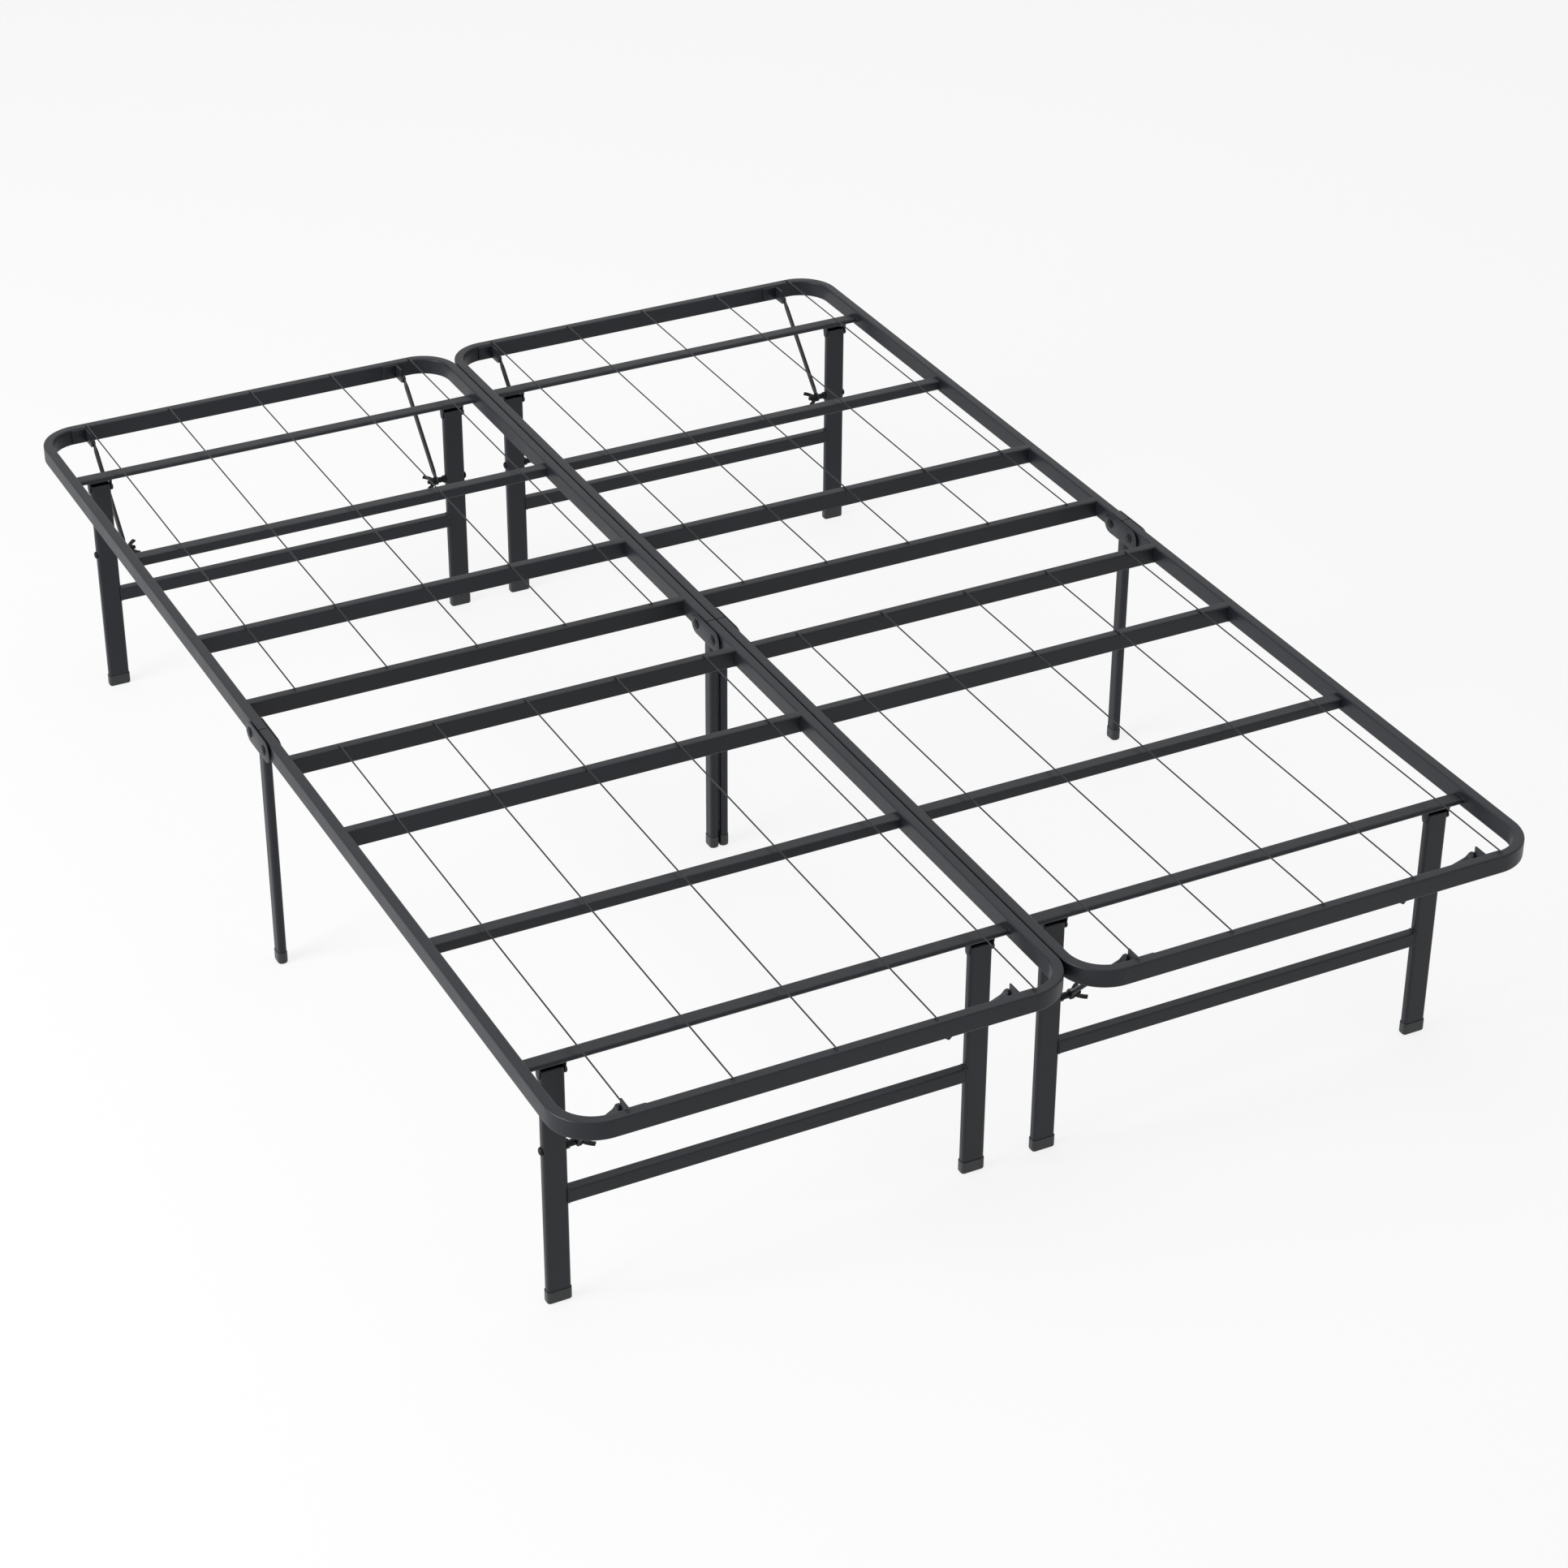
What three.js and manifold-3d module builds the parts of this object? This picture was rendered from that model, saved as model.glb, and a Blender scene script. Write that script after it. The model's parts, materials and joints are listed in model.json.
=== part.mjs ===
// Folding metal platform bed base: two bi-fold units side by side, each a foot panel and a head
// panel of welded steel tube, hinged at mid length. Millimetres, +Z up, floor at z = 0,
// +X across the bed, +Y from the foot to the head.
import * as THREE from 'three';
import { mergeVertices } from 'three/addons/utils/BufferGeometryUtils.js';
import Module from 'manifold-3d';

const wasm = await Module();
wasm.setup();
const { Manifold, Mesh: SolidMesh } = wasm;

// ---- driving dimensions -------------------------------------------------------------------
const BED_LENGTH = 1900;
const BED_WIDTH = 1296;
const DECK_Z = 355.6; // top of rails and slats: a 14 inch high base
const UNIT_GAP = 1; // between the two centre rails
const GAP = 0.3; // clearance between touching pieces
const SPLIT_GAP = 1.5; // between a foot rail's end and a head rail's
const CAP = { wall: 0.6, edge: 3, height: 17, middleHeight: 17 };
const WING_TILT = 20; // degrees from level; folded, the nut still lies between the panels
const WALL = 1.2; // wall of every steel tube

const RAIL = { w: 14, h: 25, r: 2.5 };
const RAIL_BEND = 52; // centre-line radius of the rail's two corners
const SLAT = { w: 14, h: 25, r: 2.5, drop: 0 };
const SLAT_A = { w: 18.5, h: 14.5, r: 2.5, drop: 5.5 }; // low and shallow: the legs fold under it
const FLAT_BAR = { w: 21, h: 7, r: 3.5, drop: 10.6 }; // carries the leg saddles
const LEG = { w: 30, h: 12, r: 3 };
const CROSSBAR = { w: 14, h: 20, r: 2.5, drop: 207 };
const MIDDLE_LEG = { w: 12, h: 20, r: 3 };
const WIRE = { d: 2, count: 5, pitch: 127.7, shift: 9.5 };

const LEG_INSET = 34.2; // leg's outer face from the unit's edge
const PIVOT_DROP = 31.5; // leg pivot below the deck
const LEG_TOP_DROP = 25.2;
const LEG_END_Z = 5; // the tube stops inside its cap
const BRACE_DROP = 137; // brace bolt below the deck
const BRACE_GAP = 14.5; // brace plane from the leg's inner face
const BRACE_TOP = { inset: 37, drop: 16 }; // brace rivet from the panel's end and the deck
const ROD_D = 6.5;
const HINGE = {
  footBolt: -26,
  headBolt: 24,
  footEnd: -45,
  headEnd: 39,
  drop: 15, // bolts and the plates' middle below the deck
  standOff: 1.5, // washers hold the plates off the rails
  plate: 1.5,
  headRadius: 5.8,
  headHeight: 2.4,
};
const BRACE_HEAD_RADIUS = 5.3;
const EYE = { thickness: 3, radius: 7.5 }; // flattened ends of a brace
const TAB = { plate: 2.5, reach: 31, height: 21, drop: 2, footWidth: 26 };
const WELD_LAP = 0.6; // how far a welded plate sinks into the tube it is welded to
const BOLT_D = 6; // leg pivots, braces and wing nuts
const BOLT_HOLE = 6.6;

const UNIT_WIDTH = (BED_WIDTH - UNIT_GAP) / 2;
const LEG_X = UNIT_WIDTH / 2 - LEG_INSET - LEG.w / 2; // leg and brace from the unit's centre
const BRACE_X = LEG_X - LEG.w / 2 - BRACE_GAP;
const UNITS = { left: -(UNIT_GAP + UNIT_WIDTH) / 2, right: (UNIT_GAP + UNIT_WIDTH) / 2 };
// Stations along Y, counted from the split between the panels towards the panel's end.
const PANELS = {
  foot: { dir: -1, slatC: 81.5, slatB: 270, slatA: 534.5, bar: 799, bolt: HINGE.footBolt },
  head: { dir: 1, slatC: 74, slatB: 262, slatA: 529.5, bar: 797, bolt: HINGE.headBolt },
};
const PANEL_END = BED_LENGTH / 2;

// ---- materials ----------------------------------------------------------------------------
function powderCoat() {
  return new THREE.MeshStandardMaterial({ color: 0x2e2f31, roughness: 0.5, metalness: 0.1 });
}
function wireCoat() {
  return new THREE.MeshStandardMaterial({ color: 0x37383a, roughness: 0.5, metalness: 0.1 });
}
function capPlastic() {
  return new THREE.MeshStandardMaterial({ color: 0x3a3b3c, roughness: 0.35, metalness: 0 });
}
function blackZinc() {
  return new THREE.MeshStandardMaterial({ color: 0x262728, roughness: 0.35, metalness: 0.8 });
}

// ---- solids -------------------------------------------------------------------------------
function toSolid(geometry) {
  geometry.deleteAttribute('normal');
  geometry.deleteAttribute('uv');
  const merged = mergeVertices(geometry, 1e-4);
  return new Manifold(new SolidMesh({
    numProp: 3,
    vertProperties: new Float32Array(merged.attributes.position.array),
    triVerts: new Uint32Array(merged.index.array),
  }));
}

function toMesh(name, solid, material) {
  const mesh = solid.getMesh();
  const geometry = new THREE.BufferGeometry();
  geometry.setAttribute('position', new THREE.BufferAttribute(mesh.vertProperties, 3));
  geometry.setIndex(new THREE.BufferAttribute(mesh.triVerts, 1));
  geometry.computeVertexNormals();
  const part = new THREE.Mesh(geometry, material);
  part.name = name;
  return part;
}

function roundedRect(w, h, r) {
  const shape = new THREE.Shape();
  shape.moveTo(-w / 2 + r, -h / 2);
  shape.lineTo(w / 2 - r, -h / 2);
  shape.absarc(w / 2 - r, -h / 2 + r, r, -Math.PI / 2, 0);
  shape.lineTo(w / 2, h / 2 - r);
  shape.absarc(w / 2 - r, h / 2 - r, r, 0, Math.PI / 2);
  shape.lineTo(-w / 2 + r, h / 2);
  shape.absarc(-w / 2 + r, h / 2 - r, r, Math.PI / 2, Math.PI);
  shape.lineTo(-w / 2, -h / 2 + r);
  shape.absarc(-w / 2 + r, -h / 2 + r, r, Math.PI, 1.5 * Math.PI);
  return shape;
}

function rectangle(w, h) {
  const shape = new THREE.Shape();
  shape.moveTo(-w / 2, -h / 2);
  shape.lineTo(w / 2, -h / 2);
  shape.lineTo(w / 2, h / 2);
  shape.lineTo(-w / 2, h / 2);
  shape.closePath();
  return shape;
}

// Extrudes a shape by depth; the shape's x and y and the extrusion run along the given axes.
const ALONG = {
  x: [[0, 1, 0], [0, 0, 1], [1, 0, 0]],
  z: [[1, 0, 0], [0, 1, 0], [0, 0, 1]],
};
function prism(shape, depth, axis, curveSegments = 1) {
  const geometry = new THREE.ExtrudeGeometry(shape, { depth, bevelEnabled: false, curveSegments });
  const [x, y, z] = ALONG[axis].map((v) => new THREE.Vector3(...v));
  return toSolid(geometry.applyMatrix4(new THREE.Matrix4().makeBasis(x, y, z)));
}

function box(x0, x1, y0, y1, z0, z1) {
  const geometry = new THREE.BoxGeometry(x1 - x0, y1 - y0, z1 - z0);
  return toSolid(geometry.translate((x0 + x1) / 2, (y0 + y1) / 2, (z0 + z1) / 2));
}

function cylinderX(x0, x1, y, z, d, segments = 8) {
  const geometry = new THREE.CylinderGeometry(d / 2, d / 2, Math.abs(x1 - x0), segments);
  return toSolid(geometry.rotateZ(Math.PI / 2).translate((x0 + x1) / 2, y, z));
}

// Outer body and bore of a rectangular tube that runs along one axis from a start point.
function tubeBody(size, length, axis, at) {
  return prism(roundedRect(size.w, size.h, size.r), length, axis).translate(at);
}
function tubeBore(size, length, axis, at) {
  return prism(rectangle(size.w - 2 * WALL, size.h - 2 * WALL), length, axis).translate(at);
}

// ---- panel rail ---------------------------------------------------------------------------
// Centre line of the U: out along one side, round the corner, across the end and back. Its
// parameter gives each straight one step and each bend a fixed number of steps.
class RailLine extends THREE.Curve {
  static bendSteps = 4;
  static steps = 3 + 2 * RailLine.bendSteps;
  constructor(centreX, dir) {
    super();
    this.centreX = centreX;
    this.dir = dir;
    this.side = UNIT_WIDTH / 2 - RAIL.w / 2;
    this.end = PANEL_END - RAIL.w / 2;
  }
  getUtoTmapping(u) {
    return u;
  }
  getPoint(t, target = new THREE.Vector3()) {
    const b = RailLine.bendSteps;
    const s = Math.min(Math.max(t, 0), 1) * RailLine.steps;
    const first = s <= RailLine.steps / 2;
    const k = first ? s : RailLine.steps - s; // both halves of the U are alike
    const flank = this.side - RAIL_BEND;
    const turn = Math.min(Math.max((k - 1) / b, 0), 1) * Math.PI / 2;
    let x = -flank - RAIL_BEND * Math.cos(turn);
    let y = this.end - RAIL_BEND + RAIL_BEND * Math.sin(turn);
    if (k < 1) y = SPLIT_GAP / 2 + (this.end - RAIL_BEND - SPLIT_GAP / 2) * k;
    if (k > 1 + b) x = -flank + 2 * flank * (k - 1 - b);
    return target.set(this.centreX + (first ? x : -x), this.dir * y, DECK_Z - RAIL.h / 2);
  }
}

// Folded plate on the inside of the end rail: a foot welded to the tube and a tab that
// carries the brace's rivet. A foot panel is a head panel turned round, so its bracket is too.
function braceBracket(braceX, dir) {
  const face = PANEL_END - RAIL.w;
  const tabX = -EYE.thickness / 2 - GAP - TAB.plate;
  const top = DECK_Z - TAB.drop;
  const low = top - TAB.height;
  const foot = box(tabX - TAB.footWidth, tabX + 1, face - TAB.plate, face + WELD_LAP, low, top);
  const tab = new THREE.Shape();
  const rivet = { y: face - (PANEL_END - BRACE_TOP.inset), z: DECK_Z - BRACE_TOP.drop };
  tab.moveTo(-WELD_LAP, 0);
  tab.lineTo(TAB.reach, 0);
  tab.absarc(rivet.y, rivet.z - top, TAB.reach - rivet.y, 0, -Math.PI / 2, true);
  tab.lineTo(-WELD_LAP, -TAB.height);
  tab.closePath();
  const tabSolid = prism(tab, TAB.plate, 'x').mirror([0, 1, 0]).translate([tabX, face, top]);
  const hole = cylinderX(tabX - 1, 0, PANEL_END - BRACE_TOP.inset, rivet.z, BOLT_HOLE);
  return turned(foot.add(tabSolid).subtract(hole), dir).translate([braceX, 0, 0]);
}

// A solid made for a head panel, turned half round the vertical for a foot panel.
function turned(solid, dir) {
  return dir > 0 ? solid : solid.rotate([0, 0, 180]);
}

function railSolid(centreX, panel) {
  const profile = roundedRect(RAIL.h, RAIL.w, RAIL.r);
  const inner = rectangle(RAIL.h - 2 * WALL, RAIL.w - 2 * WALL);
  profile.holes.push(new THREE.Path(inner.getPoints()));
  const line = new RailLine(centreX, panel.dir);
  const options = { steps: RailLine.steps, extrudePath: line, curveSegments: 1 };
  let rail = toSolid(new THREE.ExtrudeGeometry(profile, options));
  for (const side of [-1, 1]) {
    const x = centreX + side * line.side;
    const boltZ = DECK_Z - HINGE.drop;
    rail = rail.subtract(cylinderX(x - 10, x + 10, panel.bolt, boltZ, 8.8));
    rail = rail.subtract(endRelief(x, panel.dir));
    rail = rail.add(braceBracket(centreX + side * BRACE_X, panel.dir));
  }
  return rail;
}

// The lower half of each tube end leans back, so that the two ends clear as the bed folds.
function endRelief(x, dir) {
  const wedge = new THREE.Shape();
  wedge.moveTo(-1, 0);
  wedge.lineTo(SPLIT_GAP / 2, 0);
  wedge.lineTo(SPLIT_GAP / 2 + 2, -13);
  wedge.lineTo(-1, -13);
  wedge.closePath();
  const solid = prism(wedge, 20, 'x').translate([x - 10, 0, DECK_Z - RAIL.h / 2]);
  return dir > 0 ? solid : solid.mirror([0, 1, 0]);
}

// ---- crossbars ----------------------------------------------------------------------------
const INNER_WIDTH = UNIT_WIDTH - 2 * RAIL.w;

function slatSolid(centreX, y, size) {
  const length = INNER_WIDTH - 2 * GAP;
  const at = [centreX - length / 2, y, DECK_Z - size.drop - size.h / 2];
  const bore = tubeBore(size, length + 2, 'x', [at[0] - 1, at[1], at[2]]);
  return tubeBody(size, length, 'x', at).subtract(bore);
}

// Five wires that run from the middle of slat C to the middle of the end rail, above the
// other tubes, each on a small weld on slat C.
function wiredSlatSolid(centreX, panel) {
  let solid = slatSolid(centreX, panel.dir * panel.slatC, SLAT);
  const z = DECK_Z + GAP + WIRE.d / 2 + 0.2;
  const length = PANEL_END - RAIL.w / 2 - panel.slatC;
  const middle = panel.dir * (panel.slatC + length / 2);
  for (let i = 0; i < WIRE.count; i += 1) {
    const x = centreX + WIRE.shift + (i - (WIRE.count - 1) / 2) * WIRE.pitch;
    const wire = new THREE.CylinderGeometry(WIRE.d / 2, WIRE.d / 2, length, 6);
    const y = panel.dir * (panel.slatC + 2);
    solid = solid.add(box(x - 1.2, x + 1.2, y - 2.5, y + 2.5, DECK_Z - 0.4, z));
    solid = solid.add(toSolid(wire.translate(x, middle, z)));
  }
  return solid;
}

// Flattened tube between the side rails, with an inverted channel under it at each leg. The
// channel's ears hold the leg's pivot pin.
function flatBarSolid(centreX, panel) {
  const y = panel.dir * panel.bar;
  const under = DECK_Z - FLAT_BAR.drop - FLAT_BAR.h;
  const length = INNER_WIDTH - 2 * GAP;
  const at = [centreX - length / 2, y, under + FLAT_BAR.h / 2];
  const bore = tubeBore(FLAT_BAR, length + 2, 'x', [at[0] - 1, at[1], at[2]]);
  let solid = tubeBody(FLAT_BAR, length, 'x', at).subtract(bore);
  for (const side of [-1, 1]) {
    solid = solid.add(saddleSolid(centreX + side * LEG_X, y, under));
  }
  return solid;
}

// The channel hugs the leg. The rivet is flush on its -X side and has its head on the +X side.
const SADDLE = { plate: 1.5, web: 7, ear: 6, low: 5, corner: 3 };
function saddleSolid(x, y, under) {
  const { plate } = SADDLE;
  const half = LEG.w / 2 + GAP;
  const pivotZ = DECK_Z - PIVOT_DROP;
  const head = x + half + plate;
  const lap = 0.4;
  const web = box(x - half - plate, head, y - SADDLE.web, y + SADDLE.web, under - plate, under + lap);
  const rise = under - pivotZ + lap / 2;
  const ear = prism(earShape(rise), plate, 'x');
  const pin = cylinderX(x - half - plate, head, y, pivotZ, BOLT_D);
  return web
    .add(ear.translate([x - half - plate, y, pivotZ]))
    .add(ear.translate([x + half, y, pivotZ]))
    .add(pin)
    .add(lowHead(head, y, pivotZ, 1, 5, 2.6));
}

// Ear that runs from the web to two cut corners under the pivot.
function earShape(rise) {
  const { low, web, corner, ear: half } = SADDLE;
  const ear = new THREE.Shape();
  ear.moveTo(-web, rise);
  ear.lineTo(-half, rise - 5);
  ear.lineTo(-half, corner - low);
  ear.lineTo(-half + corner, -low);
  ear.lineTo(half - corner, -low);
  ear.lineTo(half, corner - low);
  ear.lineTo(half, rise - 5);
  ear.lineTo(web, rise);
  ear.closePath();
  return ear;
}

// ---- leg frame ----------------------------------------------------------------------------
// Two legs and the crossbar between them, welded into an H. The bores open into one another
// and out at the leg ends. Each leg carries its brace bolt and the spacer sleeve on it.
function legFrameSolid(centreX, y) {
  const top = DECK_Z - LEG_TOP_DROP;
  const barZ = DECK_Z - CROSSBAR.drop;
  const half = LEG_X - LEG.w / 2;
  let body = tubeBody(CROSSBAR, 2 * half + 4, 'x', [centreX - half - 2, y, barZ]);
  let bores = tubeBore(CROSSBAR, 2 * half - 1, 'x', [centreX - half + 0.5, y, barZ]);
  bores = bores.add(cylinderX(centreX - half - 3, centreX + half + 3, y, barZ, 6, 6));
  for (const side of [-1, 1]) {
    const x = centreX + side * LEG_X;
    body = body.add(tubeBody(LEG, top - LEG_END_Z, 'z', [x, y, LEG_END_Z]));
    bores = bores.add(tubeBore(LEG, top - LEG_END_Z + 2, 'z', [x, y, LEG_END_Z - 1]));
    bores = bores.add(cylinderX(x - 20, x + 20, y, DECK_Z - PIVOT_DROP, BOLT_HOLE));
  }
  let frame = body.subtract(bores);
  for (const side of [-1, 1]) {
    frame = frame.add(braceBoltSolid(centreX + side * LEG_X, y, side));
  }
  return frame;
}

// Bolt head outside the leg, shank through it and sleeve as far as the brace's eye.
function braceBoltSolid(x, y, side) {
  const z = DECK_Z - BRACE_DROP;
  const eyeFace = x - side * (LEG_X - BRACE_X - EYE.thickness / 2 - GAP);
  const outer = x + side * LEG.w / 2;
  const inner = x - side * LEG.w / 2;
  const shank = cylinderX(outer, inner, y, z, BOLT_D);
  const sleeve = cylinderX(inner + side * 0.4, eyeFace, y, z, 10);
  return lowHead(outer, y, z, side, BRACE_HEAD_RADIUS, 3.4).add(shank).add(sleeve);
}

// A low rivet or bolt head, narrower at its crown, on a plane x = const facing +X or -X.
function lowHead(x, y, z, side, radius, height) {
  const lap = 0.4;
  const head = new THREE.CylinderGeometry(radius * 0.75, radius, height + lap, 8);
  const out = x + side * (height - lap) / 2;
  return toSolid(head.rotateZ(-side * Math.PI / 2).translate(out, y, z));
}

// Moulded cup on a tube's end: straight sides, rounded sole edge and a socket for the tube.
function capSolid(x, y, size, height) {
  const w = size.w + 2 * (CAP.wall + GAP);
  const h = size.h + 2 * (CAP.wall + GAP);
  const edge = CAP.edge;
  const outline = roundedRect(w - 2 * edge, h - 2 * edge, size.r + CAP.wall - edge);
  const geometry = new THREE.ExtrudeGeometry(outline, {
    depth: height - edge,
    bevelEnabled: true,
    bevelSize: edge,
    bevelThickness: edge,
    bevelSegments: 1,
    curveSegments: 1,
  });
  const lump = toSolid(geometry.translate(x, y, edge));
  const trimmed = lump.subtract(box(x - w, x + w, y - h, y + h, height, height + 2 * edge));
  const socket = roundedRect(size.w + 2 * GAP, size.h + 2 * GAP, size.r + GAP);
  return trimmed.subtract(prism(socket, height, 'z').translate([x, y, LEG_END_Z - GAP]));
}

// ---- brace --------------------------------------------------------------------------------
// The brace's two pivots and its lean, for a panel that points to +Y.
function braceLine(panel) {
  const top = { y: PANEL_END - BRACE_TOP.inset, z: DECK_Z - BRACE_TOP.drop };
  const foot = { y: panel.bar, z: DECK_Z - BRACE_DROP };
  const length = Math.hypot(top.y - foot.y, top.z - foot.z);
  const lean = Math.atan2(foot.y - top.y, foot.z - top.z);
  return { top, foot, length, lean };
}

// Round rod with a flattened eye at each end. Its rivet passes through the bracket's tab and
// is flush on the far side.
function braceSolid(braceX, panel) {
  const { top, length, lean } = braceLine(panel);
  const eye = EYE.radius;
  const half = EYE.thickness / 2;
  const rod = new THREE.CylinderGeometry(ROD_D / 2, ROD_D / 2, length - 2 * eye - 10, 8);
  rod.rotateX(Math.PI / 2).translate(0, 0, length / 2);
  const flat = new THREE.Shape();
  flat.moveTo(ROD_D / 2, eye + 6);
  flat.lineTo(eye, 0);
  flat.absarc(0, 0, eye, 0, -Math.PI, true);
  flat.lineTo(-ROD_D / 2, eye + 6);
  flat.closePath();
  const flatEnd = prism(flat, EYE.thickness, 'x', 2).translate([-half, 0, 0]);
  const solid = toSolid(rod)
    .add(flatEnd)
    .add(flatEnd.mirror([0, 0, 1]).translate([0, 0, length]))
    .subtract(cylinderX(-half - 1, half + 1, 0, length, BOLT_HOLE))
    .add(cylinderX(-half - GAP - TAB.plate, 0, 0, 0, BOLT_D))
    .add(lowHead(half, 0, 0, 1, 5, 2.6))
    .rotate([-THREE.MathUtils.radToDeg(lean), 0, 0])
    .translate([0, top.y, top.z]);
  return turned(solid, panel.dir).translate([braceX, 0, 0]);
}

// Wing nut on the brace's lower eye: washer, hub, two flared wings and the bolt's end.
const NUT = { washer: 1.6, washerD: 13, hub: 8, wing: 3.5, reach: 21.5, span: 13.4 };
function wingNutSolid(braceX, panel, side) {
  const { foot } = braceLine(panel);
  const start = EYE.thickness / 2 + GAP;
  const hub = new THREE.CylinderGeometry(3.8, 5.2, NUT.hub, 8).rotateZ(-Math.PI / 2);
  const wing = new THREE.Shape();
  wing.moveTo(1, 3);
  wing.lineTo(8, 3);
  wing.lineTo(13, NUT.span - 6);
  wing.lineTo(NUT.reach - 1, NUT.span - 4.4);
  wing.lineTo(NUT.reach, NUT.span);
  wing.lineTo(9, NUT.span - 1.5);
  wing.closePath();
  const options = { depth: NUT.wing, bevelEnabled: false };
  const plate = new THREE.ExtrudeGeometry(wing, options).translate(start, 0, -NUT.wing / 2);
  const flap = toSolid(plate);
  const solid = cylinderX(start, start + NUT.washer, 0, 0, NUT.washerD)
    .add(toSolid(hub.translate(start + 1 + NUT.hub / 2, 0, 0)))
    .add(cylinderX(-EYE.thickness / 2 + GAP, start + NUT.hub + 4, 0, 0, BOLT_D))
    .add(flap)
    .add(flap.mirror([0, 1, 0]))
    .rotate([WING_TILT, 0, 0]);
  const facing = side > 0 ? solid.mirror([1, 0, 0]) : solid; // nuts face the unit's middle
  const placed = facing.translate([braceX, foot.y, foot.z]);
  return panel.dir > 0 ? placed : placed.mirror([0, 1, 0]);
}

// ---- middle hinge -------------------------------------------------------------------------
// Long plates with round ends beside the rails, joined to a web over the middle leg and held by
// two bolts that the rails turn on. Between the units there is no room for a plate or a head.
function hingeSolid(railX, plates) {
  const z = DECK_Z - HINGE.drop;
  const end = HINGE.drop - GAP; // radius of the round ends
  const outline = new THREE.Shape();
  outline.absarc(HINGE.headEnd - end, 0, end, Math.PI / 2, -Math.PI / 2, true);
  outline.absarc(HINGE.footEnd + end, 0, end, -Math.PI / 2, -1.5 * Math.PI, true);
  outline.closePath();
  const inner = RAIL.w / 2 + HINGE.standOff;
  const face = inner + HINGE.plate;
  const reach = (side) => (plates.includes(side) ? face : RAIL.w / 2);
  const from = railX - reach(-1);
  const to = railX + reach(1);
  const webTop = DECK_Z - RAIL.h - 1;
  let solid = box(from, to, -9, 9, webTop - 2, webTop);
  for (const y of [HINGE.footBolt, HINGE.headBolt]) {
    solid = solid.add(cylinderX(from, to, y, z, 8));
    for (const side of plates) {
      const { headRadius, headHeight } = HINGE;
      solid = solid.add(lowHead(railX + side * face, y, z, side, headRadius, headHeight));
    }
  }
  for (const side of plates) {
    const x0 = side > 0 ? railX + inner : railX - face;
    solid = solid.add(prism(outline, HINGE.plate, 'x', 3).translate([x0, 0, z]));
  }
  return solid;
}

function middleLegSolid(railX) {
  const top = DECK_Z - RAIL.h - 3 - GAP;
  const at = [railX, 0, LEG_END_Z];
  const bore = tubeBore(MIDDLE_LEG, top, 'z', [railX, 0, LEG_END_Z - 1]);
  return tubeBody(MIDDLE_LEG, top - LEG_END_Z, 'z', at).subtract(bore);
}

// ---- assembly -----------------------------------------------------------------------------
const bed = new THREE.Group();

function addPanel(unit, centreX, name, panel) {
  const group = new THREE.Group();
  const y = panel.dir * panel.bar;
  const label = `${unit}_${name}`;
  const steel = (part, solid) => group.add(toMesh(`${label}_${part}`, solid, powderCoat()));
  steel('rail', railSolid(centreX, panel));
  steel('slat_a', slatSolid(centreX, panel.dir * panel.slatA, SLAT_A));
  steel('slat_b', slatSolid(centreX, panel.dir * panel.slatB, SLAT));
  group.add(toMesh(`${label}_slat_c_and_wires`, wiredSlatSolid(centreX, panel), wireCoat()));
  steel('flat_bar', flatBarSolid(centreX, panel));
  steel('leg_frame', legFrameSolid(centreX, y));
  for (const side of [-1, 1]) {
    const place = side * centreX > 0 ? 'outer' : 'inner';
    const braceX = centreX + side * BRACE_X;
    const cap = capSolid(centreX + side * LEG_X, y, LEG, CAP.height);
    group.add(toMesh(`${label}_${place}_foot_cap`, cap, capPlastic()));
    steel(`${place}_brace`, braceSolid(braceX, panel));
    const nut = wingNutSolid(braceX, panel, side);
    group.add(toMesh(`${label}_${place}_wing_nut`, nut, blackZinc()));
  }
  bed.add(group);
}

function addHinge(unit, centreX, side) {
  const group = new THREE.Group();
  const outer = side * centreX > 0;
  const label = `${unit}_${outer ? 'outer' : 'inner'}`;
  const railX = centreX + side * (UNIT_WIDTH / 2 - RAIL.w / 2);
  const plates = outer ? [-1, 1] : [-side];
  group.add(toMesh(`${label}_hinge`, hingeSolid(railX, plates), powderCoat()));
  group.add(toMesh(`${label}_middle_leg`, middleLegSolid(railX), powderCoat()));
  const cap = capSolid(railX, 0, MIDDLE_LEG, CAP.middleHeight);
  group.add(toMesh(`${label}_middle_leg_cap`, cap, capPlastic()));
  bed.add(group);
}

for (const [unit, centreX] of Object.entries(UNITS)) {
  for (const [name, panel] of Object.entries(PANELS)) addPanel(unit, centreX, name, panel);
  for (const side of [-1, 1]) addHinge(unit, centreX, side);
}

export default bed;
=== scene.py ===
"""Looks of a folding metal platform bed base: two bi-fold units of black powder-coated steel tube
side by side, with welded wires, folding braced legs and middle hinges. Metres, +Z up, floor at
z = 0, +X across the bed, +Y from the foot to the head."""

import json
import math

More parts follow.
